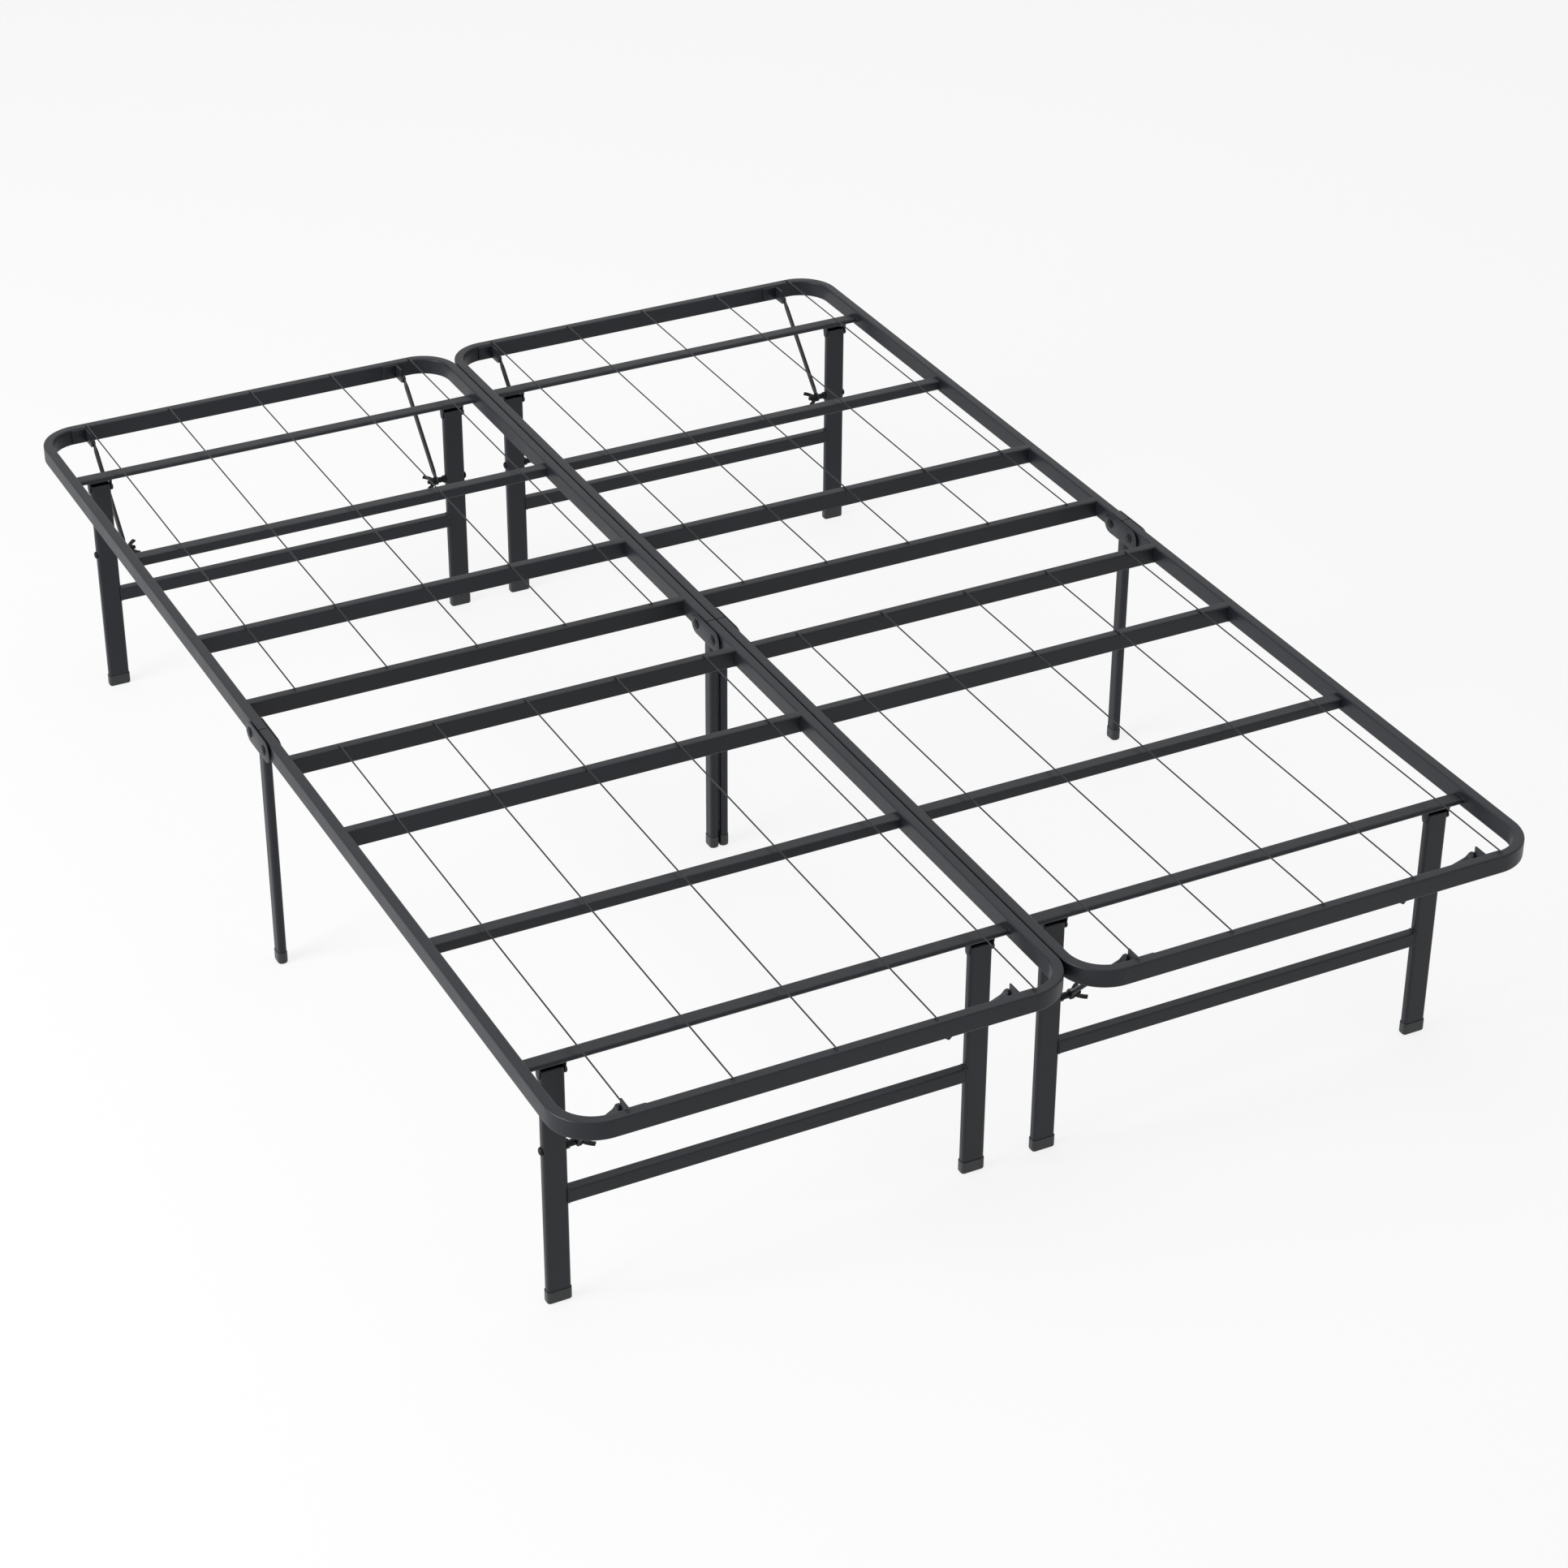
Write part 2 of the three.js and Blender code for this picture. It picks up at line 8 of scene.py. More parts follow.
import bmesh
import bpy
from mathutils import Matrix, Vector


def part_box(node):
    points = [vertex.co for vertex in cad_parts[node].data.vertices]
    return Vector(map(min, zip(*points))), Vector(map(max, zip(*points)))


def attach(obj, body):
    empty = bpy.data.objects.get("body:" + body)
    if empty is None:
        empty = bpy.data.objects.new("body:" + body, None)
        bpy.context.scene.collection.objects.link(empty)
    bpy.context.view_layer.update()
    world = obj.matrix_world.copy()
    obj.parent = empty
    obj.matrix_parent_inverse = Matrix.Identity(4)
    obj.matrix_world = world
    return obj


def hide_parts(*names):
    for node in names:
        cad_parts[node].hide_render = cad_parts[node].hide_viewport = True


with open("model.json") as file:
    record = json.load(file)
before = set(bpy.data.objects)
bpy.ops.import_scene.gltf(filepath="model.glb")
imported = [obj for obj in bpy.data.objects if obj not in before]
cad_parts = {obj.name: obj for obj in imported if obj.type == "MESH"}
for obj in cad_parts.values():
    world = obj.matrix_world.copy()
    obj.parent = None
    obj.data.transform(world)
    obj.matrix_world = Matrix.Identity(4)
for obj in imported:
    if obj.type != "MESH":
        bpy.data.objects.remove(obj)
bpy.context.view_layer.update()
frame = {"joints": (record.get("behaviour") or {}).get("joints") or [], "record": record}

MM = 0.001
QUARTER = math.pi / 2
WALL = 1.2 * MM  # wall of every steel tube
TUBE_CORNER = 2.5 * MM  # outside corners of the rails and crossbars
PLATE = 1.5 * MM  # saddles and hinge plates
CLEARANCE = 0.3 * MM  # between a moving piece and the one beside it
BEAD = 1.6 * MM  # thickness of a weld run
THIN_BEAD = 1.2 * MM

RAIL = Vector((14, 25)) * MM
RAIL_BEND = 52 * MM  # centre-line radius of the rail's corners
SINK = 2.2 * MM  # how far a crossbar's end reaches past the face it is welded to
LEG = Vector((30, 12)) * MM
LEG_CORNER = 3.8 * MM
MIDDLE_CORNER = 4.4 * MM
LEG_BAR = Vector((14, 20)) * MM
WIRE_D = 2 * MM
WIRE_COUNT = 5
WIRE_PITCH = 127.7 * MM
WIRE_SHIFT = 9.5 * MM  # the middle wire from the panel's centre
ROD_D = 6.5 * MM
EYE = 3 * MM  # thickness of a brace's flattened ends
TAB = 2.5 * MM  # thickness of the brace's bracket
BOLT_R = 3 * MM  # leg pivots, braces and wing nuts
NUT_R = {"brace": 5.8 * MM, "hinge": 6.8 * MM}  # lock nuts, over their corners
NUT_TURN = {"head": 20, "foot": 6}  # degrees from level at which the wing nuts came to rest
PIVOT_DROP = 31.5 * MM  # leg pivots below the deck
BRACE_DROP = 137 * MM  # brace bolts below the deck
LEG_BAR_DROP = 207 * MM  # leg crossbars below the deck
CAP_CORNER = {"foot": 4.3 * MM, "middle": 6 * MM}  # caps of the leg frames and middle legs
CAP_WALL = 0.9 * MM
CAP_LIP = 0.35 * MM
CAP_FLOOR = 5 * MM  # thickness of a cap's sole
SOLE_ROUND = 2.6 * MM

BODY_OF = {n: b for b, ns in frame["record"]["behaviour"]["bodies"].items() for n in ns}
PIVOTS = {j["name"]: Vector(j["pos_m"]) for j in frame["joints"]}
DIRECTION = {"foot": -1, "head": 1}  # which way along Y a panel points
SIDES = {"outer": -1, "inner": 1}  # in the left unit, where every piece is modelled first
SWAP = {"outer": "inner", "inner": "outer"}


# ---- finishes -----------------------------------------------------------------------------
def linear(hex_colour):
    """An sRGB hex colour as linear RGBA."""
    channels = [int(hex_colour[i : i + 2], 16) / 255 for i in (1, 3, 5)]
    return [c / 12.92 if c <= 0.04045 else ((c + 0.055) / 1.055) ** 2.4 for c in channels] + [1]


def add_node(tree, kind, inputs=None, **settings):
    """A node of that kind with its settings; each input is a value or a socket to link from."""
    made = tree.nodes.new(kind)
    for key, value in settings.items():
        setattr(made, key, value)
    for key, value in (inputs or {}).items():
        if isinstance(value, bpy.types.NodeSocket):
            tree.links.new(value, made.inputs[key])
        else:
            made.inputs[key].default_value = value
    return made


def empty_tree(owner):
    """The node tree of a material or world, with nothing in it."""
    owner.use_nodes = True
    owner.node_tree.nodes.clear()
    return owner.node_tree


def new_finish(name):
    finish = bpy.data.materials.new(name)
    tree = empty_tree(finish)
    return finish, tree, add_node(tree, "ShaderNodeTexCoord").outputs["Object"]


def tone_ramp(tree, factor, dark, light, low, high):
    """A colour that goes from dark to light as the factor goes from low to high."""
    node = add_node(tree, "ShaderNodeValToRGB", {"Fac": factor.outputs["Fac"]})
    first, last = node.color_ramp.elements
    first.position, last.position = low, high
    first.color, last.color = linear(dark), linear(light)
    return node.outputs["Color"]


def close_finish(tree, inputs):
    """The surface itself: one Principled shader on the material's output."""
    shader = add_node(tree, "ShaderNodeBsdfPrincipled", inputs)
    add_node(tree, "ShaderNodeOutputMaterial", {"Surface": shader.outputs["BSDF"]})


def powder_coat(name, dark, light, orange_peel_mm, roughness):
    """Satin polyester powder baked on steel. The powder flows out into a faint orange peel, which
    breaks the long highlights of the tubes; it lies a little thicker or thinner from place to
    place, which shows as a slow drift of tone and sheen."""
    finish, tree, place = new_finish(name)
    drift = add_node(tree, "ShaderNodeTexNoise", {
        "Vector": place, "Scale": 1 / (60 * MM), "Detail": 3.0, "Roughness": 0.55,
    })
    tone = tone_ramp(tree, drift, dark, light, 0.3, 0.7)
    cells = add_node(tree, "ShaderNodeTexNoise", {
        "Vector": place, "Scale": 1 / (orange_peel_mm * MM), "Detail": 2.0, "Roughness": 0.5,
    })
    grains = add_node(tree, "ShaderNodeTexVoronoi", {
        "Vector": place, "Scale": 1 / (0.9 * MM),
    })
    sheen = add_node(tree, "ShaderNodeMapRange", {
        "Value": drift.outputs["Fac"], "From Min": 0.3, "From Max": 0.7,
        "To Min": roughness - 0.04, "To Max": roughness + 0.05,
    })
    peel = add_node(tree, "ShaderNodeBump", {
        "Height": cells.outputs["Fac"], "Strength": 0.25, "Distance": 0.25 * MM,
    })
    grit = add_node(tree, "ShaderNodeBump", {
        "Height": grains.outputs["Distance"], "Strength": 0.12, "Distance": 0.1 * MM,
        "Normal": peel.outputs["Normal"],
    })
    close_finish(tree, {
        "Base Color": tone, "Roughness": sheen.outputs["Result"], "IOR": 1.38,
        "Normal": grit.outputs["Normal"],
    })
    return finish


def moulded_polyethylene(name):
    """Injection-moulded black polyethylene: a spark-eroded mould leaves an even matt grain, and
    faint flow lines run up the cup from the gate in the sole."""
    finish, tree, place = new_finish(name)
    grain = add_node(tree, "ShaderNodeTexNoise", {
        "Vector": place, "Scale": 1 / (0.8 * MM), "Detail": 2.0,
    })
    stretched = add_node(tree, "ShaderNodeMapping", {"Vector": place, "Scale": (1, 1, 0.12)})
    flow = add_node(tree, "ShaderNodeTexNoise", {
        "Vector": stretched.outputs["Vector"], "Scale": 1 / (5 * MM), "Detail": 2.0,
    })
    tone = tone_ramp(tree, flow, "#1f2123", "#27292b", 0.35, 0.65)
    sheen = add_node(tree, "ShaderNodeMapRange", {
        "Value": flow.outputs["Fac"], "To Min": 0.34, "To Max": 0.46,
    })
    bump = add_node(tree, "ShaderNodeBump", {
        "Height": grain.outputs["Fac"], "Strength": 0.2, "Distance": 0.12 * MM,
    })
    close_finish(tree, {
        "Base Color": tone, "Roughness": sheen.outputs["Result"], "IOR": 1.45,
        "Normal": bump.outputs["Normal"],
    })
    return finish


def black_zinc(name):
    """Zinc plate with a black chromate on cold-headed steel: a thin dark metal film, a little
    brownish and cloudy where the passivation took more or less, over the drawn steel's fine
    lines."""
    finish, tree, place = new_finish(name)
    cloud = add_node(tree, "ShaderNodeTexNoise", {
        "Vector": place, "Scale": 1 / (6 * MM), "Detail": 4.0, "Roughness": 0.6,
    })
    tone = tone_ramp(tree, cloud, "#0e0f11", "#1b1c1e", 0.35, 0.7)
    sheen = add_node(tree, "ShaderNodeMapRange", {
        "Value": cloud.outputs["Fac"], "To Min": 0.3, "To Max": 0.48,
    })
    drawn = add_node(tree, "ShaderNodeMapping", {"Vector": place, "Scale": (0.15, 1, 1)})
    lines = add_node(tree, "ShaderNodeTexNoise", {
        "Vector": drawn.outputs["Vector"], "Scale": 1 / (0.5 * MM), "Detail": 1.0,
    })
    bump = add_node(tree, "ShaderNodeBump", {
        "Height": lines.outputs["Fac"], "Strength": 0.15, "Distance": 0.08 * MM,
    })
    close_finish(tree, {
        "Base Color": tone, "Metallic": 0.75, "Roughness": sheen.outputs["Result"],
        "Normal": bump.outputs["Normal"],
    })
    return finish


# The orange peel of a real coat is 1 to 2 mm across; it is drawn at 2.2 mm so that it shows.
FINISHES = {
    "black_powder_coat": powder_coat("black_powder_coat", "#12151b", "#181b21", 2.2, 0.42),
    # The wires carry the tubes' coat. Their colours here are set a little darker than the tubes',
    # as painted shade on the thin wires.
    "powder_coated_wire": powder_coat("powder_coated_wire", "#101216", "#16181c", 1.6, 0.45),
    "foot_plastic": moulded_polyethylene("moulded_polyethylene"),
    "black_zinc": black_zinc("black_zinc_plate"),
}


# ---- workshop moves -----------------------------------------------------------------------
def clear_bench():
    if bpy.context.object and bpy.context.object.mode != "OBJECT":
        bpy.ops.object.mode_set(mode="OBJECT")
    bpy.ops.object.select_all(action="DESELECT")


def take_up(piece):
    clear_bench()
    piece.select_set(True)
    bpy.context.view_layer.objects.active = piece


def settle(name):
    """The new primitive gets its name, and its place goes into its mesh."""
    piece = bpy.context.object
    piece.name = piece.data.name = name
    bpy.ops.object.transform_apply(location=True, rotation=True, scale=True)
    return piece


def open_up(name):
    """Settles the new primitive and opens it for editing."""
    piece = settle(name)
    bpy.ops.object.mode_set(mode="EDIT")
    return piece


def pick(kind, wanted):
    """In edit mode, selects only the faces, edges or vertices that the test wants."""
    bpy.ops.mesh.select_mode(type=kind)
    bpy.ops.mesh.select_all(action="DESELECT")
    mesh = bmesh.from_edit_mesh(bpy.context.object.data)
    for item in {"FACE": mesh.faces, "EDGE": mesh.edges, "VERT": mesh.verts}[kind]:
        if wanted(item):
            item.select_set(True)
    mesh.select_flush_mode()
    bmesh.update_edit_mesh(bpy.context.object.data)


def pick_rims():
    """In edit mode, selects the edges that lie at right angles to X."""
    pick("EDGE", lambda e: len({round(v.co.x, 6) for v in e.verts}) == 1)


def draw_out(x=0.0, y=0.0, z=0.0):
    bpy.ops.mesh.extrude_region_move(TRANSFORM_OT_translate={"value": (x, y, z)})


def close_up(degrees=None):
    """Merges doubles, turns every face outwards and leaves edit mode. With an angle, the faces
    that meet at less than it shade as one round."""
    bpy.ops.mesh.select_all(action="SELECT")
    bpy.ops.mesh.remove_doubles(threshold=0.01 * MM)
    bpy.ops.mesh.normals_make_consistent(inside=False)
    bpy.ops.object.mode_set(mode="OBJECT")
    if degrees:
        bpy.ops.object.shade_smooth_by_angle(angle=math.radians(degrees))


def machine(piece, kind, **settings):
    """Adds a modifier and applies it."""
    take_up(piece)
    modifier = piece.modifiers.new(kind.title(), kind)
    for key, value in settings.items():
        setattr(modifier, key, value)
    bpy.ops.object.modifier_apply(modifier=modifier.name)


def smooth_off(piece, degrees=35):
    """Rounds shade as round and flats as flat."""
    take_up(piece)
    bpy.ops.object.shade_smooth_by_angle(angle=math.radians(degrees))
    machine(piece, "WEIGHTED_NORMAL", keep_sharp=True, weight=100)


def weld_together(parts, name):
    """Joins parts into the first one."""
    clear_bench()
    for part in parts:
        part.select_set(True)
    bpy.context.view_layer.objects.active = parts[0]
    if len(parts) > 1:
        bpy.ops.object.join()
    piece = bpy.context.object
    piece.name = piece.data.name = name
    return piece


def copy_of(piece, name, shift):
    take_up(piece)
    bpy.ops.object.duplicate(linked=False)
    twin = bpy.context.object
    twin.name = twin.data.name = name
    twin.location = shift
    bpy.ops.object.transform_apply(location=True, rotation=False, scale=False)
    return twin


def fit(piece, node, slot, stands_for_it=True):
    """The piece moves with its CAD node's body, and mostly stands for the node."""
    piece.data.materials.clear()
    piece.data.materials.append(FINISHES[slot])
    if stands_for_it:
        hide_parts(node)
    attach(piece, BODY_OF[node])


def fit_both_units(piece, left_node, slot, ending="_finished", stands_for_it=True):
    """Fits the piece in the left unit and a copy of it in the right unit, where the outer and
    inner places are swapped."""
    right_node = left_node.replace("left_", "right_")
    for place, other in SWAP.items():
        if f"_{place}_" in left_node:
            right_node = right_node.replace(place, other)
    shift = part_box(right_node)[0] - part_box(left_node)[0]
    twin = copy_of(piece, right_node + ending, shift)
    fit(twin, right_node, slot, stands_for_it)
    fit(piece, left_node, slot, stands_for_it)


# ---- stock: blocks, tube, bead, bolt heads ------------------------------------------------
FACING = {"x": (0, QUARTER, 0), "y": (QUARTER, 0, 0), "z": (0, 0, 0)}


def block(name, at, size):
    """A box, left in edit mode."""
    clear_bench()
    bpy.ops.mesh.primitive_cube_add(size=1, location=at)
    bpy.context.object.scale = size
    return open_up(name)


def turned_bar(name, at, radius, length, sides):
    """A round or many-sided bar along X, left in edit mode."""
    clear_bench()
    bpy.ops.mesh.primitive_cylinder_add(
        vertices=sides, radius=radius, depth=length, rotation=FACING["x"], location=at
    )
    return open_up(name)


def tube_section(name, at, across, up, corner, axis, steps=4):
    """The flat rounded section a tube starts from, left in edit mode. For a tube along X,
    across is its size in Y and up in Z; along Y, X and Z; along Z, X and Y."""
    clear_bench()
    bpy.ops.mesh.primitive_plane_add(size=1, location=at, rotation=FACING[axis])
    bpy.context.object.scale = (up, across, 1) if axis == "x" else (across, up, 1)
    piece = open_up(name)
    bpy.ops.mesh.select_all(action="SELECT")
    bpy.ops.mesh.bevel(offset=corner, segments=steps, affect="VERTICES")
    bpy.ops.mesh.select_mode(type="FACE")
    bpy.ops.mesh.select_all(action="SELECT")
    return piece


def open_ends(piece, wanted):
    """Removes the chosen end faces and gives the tube its wall."""
    close_up()
    bpy.ops.object.mode_set(mode="EDIT")
    pick("FACE", wanted)
    bpy.ops.mesh.delete(type="ONLY_FACE")
    bpy.ops.object.mode_set(mode="OBJECT")
    machine(piece, "SOLIDIFY", thickness=WALL, offset=-1, use_even_offset=True)
    smooth_off(piece)


def straight_tube(name, start, end, across, up, corner, axis):
    run = Vector(end) - Vector(start)
    piece = tube_section(name, start, across, up, corner, axis)
    draw_out(*run)
    along = run.normalized()
    open_ends(piece, lambda f: abs(f.normal.dot(along)) > 0.9)
    return piece


def weld_bead(name, at, across, up, corner, axis, thick, keep=None):
    """A rippled weld run round a tube's end. keep says which part of the outline is welded."""
    piece = tube_section(name, at, across, up, corner, axis, steps=3)
    bpy.ops.mesh.delete(type="ONLY_FACE")
    for _ in range(4):
        pick("EDGE", lambda e: e.calc_length() > 1.5 * thick)
        bpy.ops.mesh.subdivide(number_cuts=1)
    if keep:
        pick("VERT", lambda v: not keep(v.co))
        bpy.ops.mesh.delete(type="VERT")
    bpy.ops.object.mode_set(mode="OBJECT")
    bpy.ops.object.convert(target="CURVE")
    bead = bpy.context.object
    bead.data.bevel_depth = thick / 2
    bead.data.bevel_resolution = 1
    bead.data.use_fill_caps = True
    for spline in bead.data.splines:
        for i, point in enumerate(spline.points):
            point.radius = 1.12 if i % 2 else 0.86
    bpy.ops.object.convert(target="MESH")
    piece = bpy.context.object
    bpy.ops.object.mode_set(mode="EDIT")
    close_up(60)
    return piece


def domed_head(name, at, side, radius, height, sides=24):
    """A round bolt or rivet head that faces +X or -X: a short edge, then a low dome."""
    edge = height * 0.25
    face = at[0] + side * edge
    piece = turned_bar(name, Vector(at) + Vector((side * edge / 2, 0, 0)), radius, edge, sides)
    pick("FACE", lambda f: f.normal.x * side > 0.9)
    rise, out = 0.0, 1.0
    for step in (1, 2, 3, 4):
        angle = step * math.radians(20)
        new_rise, new_out = math.sin(angle), math.cos(angle)
        draw_out(x=side * (new_rise - rise) * (height - edge))
        share = new_out / out
        bpy.ops.transform.resize(
            value=(1, share, share), center_override=(face, at[1], at[2])
        )
        rise, out = new_rise, new_out
    close_up(40)
    return piece


def plain_pin(name, start, end, radius, sides=16):
    """A round pin along X with broken edges."""
    start, end = Vector(start), Vector(end)
    piece = turned_bar(name, (start + end) / 2, radius, (end - start).length, sides)
    pick_rims()
    bpy.ops.mesh.bevel(offset=min(0.4 * MM, radius / 4), segments=2, affect="EDGES")
    close_up(40)
    return piece


def pressed_plate(name, outline, x0, x1, edge=0.35 * MM):
    """A flat plate at right angles to X, cut to an outline of (y, z) points, with rolled edges."""
    clear_bench()
    bpy.ops.mesh.primitive_circle_add(vertices=len(outline), radius=1, fill_type="NGON")
    piece = settle(name)
    for vertex, (y, z) in zip(piece.data.vertices, outline):
        vertex.co = (x0, y, z)
    bpy.ops.object.mode_set(mode="EDIT")
    bpy.ops.mesh.select_mode(type="FACE")
    bpy.ops.mesh.select_all(action="SELECT")
    draw_out(x=x1 - x0)
    pick_rims()
    bpy.ops.mesh.bevel(offset=edge, segments=2, affect="EDGES")
    close_up(30)
    return piece


def arc(centre, radius, start, end, steps=6):
    """Points on an arc in the Y-Z plane; angles in degrees from +Y towards +Z."""
    turns = [math.radians(start + (end - start) * i / steps) for i in range(steps + 1)]
    return [(centre[0] + radius * math.cos(t), centre[1] + radius * math.sin(t)) for t in turns]


def leg_x(panel, place):
    low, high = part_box(f"left_{panel}_{place}_foot_cap")
    return (low.x + high.x) / 2


# ---- panel rail ---------------------------------------------------------------------------
def brace_bracket(panel, place):
    """Folded plate on the inside of the end rail: a foot welded to the tube and a tab that
    carries the brace's rivet. A foot panel is a head panel turned round, and its bracket too."""
    d = DIRECTION[panel]
    rivet = PIVOTS[f"left_{panel}_{place}_brace_fold"]
    low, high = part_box(f"left_{panel}_rail")
    end = high.y if d > 0 else low.y
    face = end - d * RAIL.x
    top = high.z - 2 * MM
    height, reach, wide = 21 * MM, 21.5 * MM, 22 * MM  # wide: the foot, along the rail
    middle = top - height / 2
    tip = face - d * reach
    tab_in = rivet.x - d * (EYE / 2 + CLEARANCE)
    tab_out = tab_in - d * TAB
    nose_r, tip_edge = 6.2 * MM, 9 * MM
    start, finish = (155, 270) if d > 0 else (25, -90)
    nose = arc((rivet.y, rivet.z), nose_r, start, finish, 9)
    heel = face + d * 0.4 * MM
    outline = [(heel, top), (tip, top), (tip, top - tip_edge), *nose, (heel, top - height)]
    tab = pressed_plate("bracket_tab", outline, *sorted((tab_out, tab_in)))
    foot_x = tab_out + d * 1 * MM - d * wide / 2
    foot_at = (foot_x, face - d * 1.05 * MM, middle)
    foot = block("bracket_foot", foot_at, (wide, TAB + 0.4 * MM, height))
    pick("EDGE", lambda e: all((foot_x - v.co.x) * d > 0 for v in e.verts)
         and abs(e.verts[0].co.y - e.verts[1].co.y) > 1 * MM)
    bpy.ops.mesh.bevel(offset=2 * MM, segments=3, affect="EDGES")
    pick("EDGE", lambda e: all((v.co.y - face) * d < -1 * MM for v in e.verts))
    bpy.ops.mesh.bevel(offset=0.4 * MM, segments=2, affect="EDGES")
    close_up(30)
    run = weld_bead(
        "bracket_weld", (foot_x, face, middle), wide, height, 1 * MM, "y", 1.4 * MM,
        keep=lambda co: abs(co.z - middle) > height / 2 - 0.3 * MM,
    )
    return [tab, foot, run]


def panel_rail(panel):
    """One length of 25 x 14 mm tube, bent round both corners of the panel, with the brackets."""
    node = f"left_{panel}_rail"
    d = DIRECTION[panel]
    low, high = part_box(node)
    split, end = (low.y, high.y) if d > 0 else (high.y, low.y)
    middle_z = (low.z + high.z) / 2
    flank = low.x + RAIL.x / 2
    corner_x = flank + RAIL_BEND
    far_corner_x = high.x - RAIL.x / 2 - RAIL_BEND
    bend_y = end - d * (RAIL.x / 2 + RAIL_BEND)
    rail = tube_section(node + "_finished", (flank, split, middle_z), *RAIL, TUBE_CORNER, "y")
    draw_out(y=bend_y - split)
    bpy.ops.mesh.spin(steps=18, angle=d * QUARTER, center=(corner_x, bend_y, 0), axis=(0, 0, 1))
    draw_out(x=far_corner_x - corner_x)
    bpy.ops.mesh.spin(
        steps=18, angle=d * QUARTER, center=(far_corner_x, bend_y, 0), axis=(0, 0, 1)
    )
    draw_out(y=split - bend_y)
    pick("FACE", lambda f: True)
    bpy.ops.mesh.bisect(plane_co=(0, 0, middle_z), plane_no=(0, 0, 1))
    pick("VERT", lambda v: abs(v.co.y - split) < 0.01 * MM and v.co.z < middle_z - 0.1 * MM)
    lean = bmesh.from_edit_mesh(rail.data)
    for vertex in lean.verts:
        if vertex.select:
            vertex.co.y += d * 2 * MM * (middle_z - vertex.co.z) / (RAIL.y / 2)
    bmesh.update_edit_mesh(rail.data)
    open_ends(rail, lambda f: abs(f.normal.y) > 0.9 and abs(f.calc_center_median().y - split)
              < 3 * MM)
    parts = [rail]
    for place in SIDES:
        parts += brace_bracket(panel, place)
    fit_both_units(weld_together(parts, node + "_finished"), node, "black_powder_coat")


# ---- crossbars ----------------------------------------------------------------------------
def slat_box(node):
    """Corners of a slat without its wires, and the level of its top."""
    low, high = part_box(node)
    if "wires" in node:
        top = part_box(node.replace("slat_c_and_wires", "rail"))[1].z
        if DIRECTION[node.split("_")[1]] > 0:
            high.y = low.y + RAIL.x
        else:
            low.y = high.y - RAIL.x
        return low, high, top
    return low, high, high.z


def crossbar_welds(node):
    """The weld runs at both ends of a crossbar: down its sides and across its underside. The top
    stays flush for the mattress."""
    low, high, top = slat_box(node)
    centre = ((low.y + high.y) / 2, (low.z + top) / 2)
    return [
        weld_bead(
            "crossbar_weld", (x, *centre), high.y - low.y, top - low.z, TUBE_CORNER, "x",
            THIN_BEAD, keep=lambda co: co.z < top - TUBE_CORNER,
        )
        for x in (low.x, high.x)
    ]


def slat(node):
    """A crossbar of rectangular tube. Its square ends reach a little past the rails' faces, into
    their rounded edges, so that the tops are flush."""
    low, high, top = slat_box(node)
    y, z = (low.y + high.y) / 2, (low.z + top) / 2
    tube = straight_tube(
        node + "_finished", (low.x - SINK, y, z), (high.x + SINK, y, z),
        high.y - low.y, top - low.z, TUBE_CORNER, "x",
    )
    return [tube, *crossbar_welds(node)]


def spot_weld(at):
    """Where a wire is fused into the tube under it: a small squashed nugget."""
    clear_bench()
    bpy.ops.mesh.primitive_uv_sphere_add(segments=12, ring_count=8, radius=1, location=at)
    bpy.context.object.scale = (1.5 * MM, 2.1 * MM, 0.9 * MM)
    nugget = open_up("spot_weld")
    pick("VERT", lambda v: v.co.z < at[2] - 0.2 * MM)
    bpy.ops.mesh.delete(type="VERT")
    bpy.ops.mesh.select_all(action="SELECT")
    bpy.ops.mesh.edge_face_add()
    close_up(50)
    return nugget


def wired_slat(panel):
    """Slat C with the five wires that run from it to the end rail."""
    node = f"left_{panel}_slat_c_and_wires"
    d = DIRECTION[panel]
    low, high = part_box(node)
    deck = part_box(f"left_{panel}_rail")[1].z
    near, far = (low.y, high.y) if d > 0 else (high.y, low.y)
    slat_y = near + d * RAIL.x / 2
    first = (low.x + high.x) / 2 + WIRE_SHIFT - (WIRE_COUNT - 1) / 2 * WIRE_PITCH
    clear_bench()
    bpy.ops.mesh.primitive_cylinder_add(
        vertices=12, radius=WIRE_D / 2, depth=abs(far - slat_y), rotation=(QUARTER, 0, 0),
        location=(first, (far + slat_y) / 2, high.z - WIRE_D / 2), end_fill_type="NGON",
    )
    wire = open_up("wire")
    pick("FACE", lambda f: abs(f.normal.y) > 0.9)
    bpy.ops.mesh.bevel(offset=0.5 * MM, segments=2, affect="EDGES")
    close_up(50)
    slat_b_low, slat_b_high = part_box(f"left_{panel}_slat_b")
    strand = [wire]
    for y in (slat_y, (slat_b_low.y + slat_b_high.y) / 2, far - d * 0.5 * MM):
        strand.append(spot_weld((first, y, deck + 0.2 * MM)))
    strand = weld_together(strand, "wire_run")
    strands = [copy_of(strand, "wire_run", (i * WIRE_PITCH, 0, 0)) for i in range(1, WIRE_COUNT)]
    piece = weld_together([*slat(node), strand, *strands], node + "_finished")
    fit_both_units(piece, node, "powder_coated_wire")


